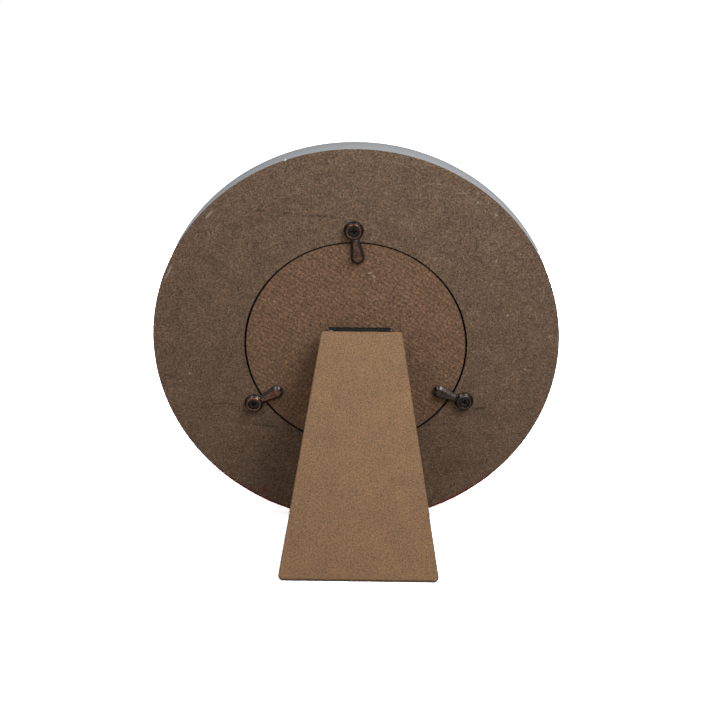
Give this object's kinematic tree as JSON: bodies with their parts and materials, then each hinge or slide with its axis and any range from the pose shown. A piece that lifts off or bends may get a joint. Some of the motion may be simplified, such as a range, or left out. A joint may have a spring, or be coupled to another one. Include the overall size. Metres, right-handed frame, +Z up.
{
  "type": "round photo frame",
  "caption": "Round tabletop photo frame: a thick ring with glass, print and back panel held in by turn buttons, standing on a hinged strut that folds flat.",
  "frame": {"origin": "on the table, at the middle of the bounding box's footprint", "axes": "+Z up, -Y the way the picture faces, +Y the side of the strut, +X to the right of someone who looks at the picture"},
  "size_m": [0.2, 0.0894, 0.1992],
  "materials": {
    "ring_mdf": "raw MDF back, light grey satin enamel on the rim and front, a dark red dipped band at the bottom",
    "glass": "clear float glass",
    "print": null,
    "card": "grey filler card",
    "panel_hardboard": "hardboard, rough screen side out",
    "strut_hardboard": "hardboard, smooth side out",
    "hinge_black": "black japanned steel",
    "pin_steel": "drawn steel wire, dulled with age, riveted ends",
    "tack_steel": "blued steel",
    "antique_copper": "cast, antique copper plated, darkened in the low places",
    "screw_black": "black oxide steel"
  },
  "bodies": {
    "frame": {"frame_ring": "ring_mdf", "glass_pane": "glass", "photo_print": "print", "filler_board": "card", "back_panel": "panel_hardboard", "hinge_leaf_fixed": "hinge_black", "hinge_pin": "pin_steel", "panel_tacks": "tack_steel", "turn_button_screw_top": "screw_black", "turn_button_screw_left": "screw_black", "turn_button_screw_right": "screw_black"},
    "strut": {"strut_board": "strut_hardboard", "hinge_leaf_moving": "hinge_black", "strut_tacks": "tack_steel"},
    "button_top": {"turn_button_top": "antique_copper"},
    "button_left": {"turn_button_left": "antique_copper"},
    "button_right": {"turn_button_right": "antique_copper"}
  },
  "joints": [
    {"name": "strut_hinge", "type": "hinge", "parent": "frame", "child": "strut", "pos_m": [-0.0021, -0.0104, 0.10798], "axis": [1, 0, 0], "range_deg": [-35.2, 0]},
    {"name": "button_top_turn", "type": "hinge", "parent": "frame", "child": "button_top", "pos_m": [0.00085, -0.00297, 0.15845], "axis": [0, 0.9848, -0.1736], "continuous": true},
    {"name": "button_left_turn", "type": "hinge", "parent": "frame", "child": "button_left", "pos_m": [0.05124, -0.01893, 0.06792], "axis": [0, 0.9848, -0.1736], "continuous": true},
    {"name": "button_right_turn", "type": "hinge", "parent": "frame", "child": "button_right", "pos_m": [-0.05445, -0.01851, 0.07033], "axis": [0, 0.9848, -0.1736], "continuous": true}
  ]
}
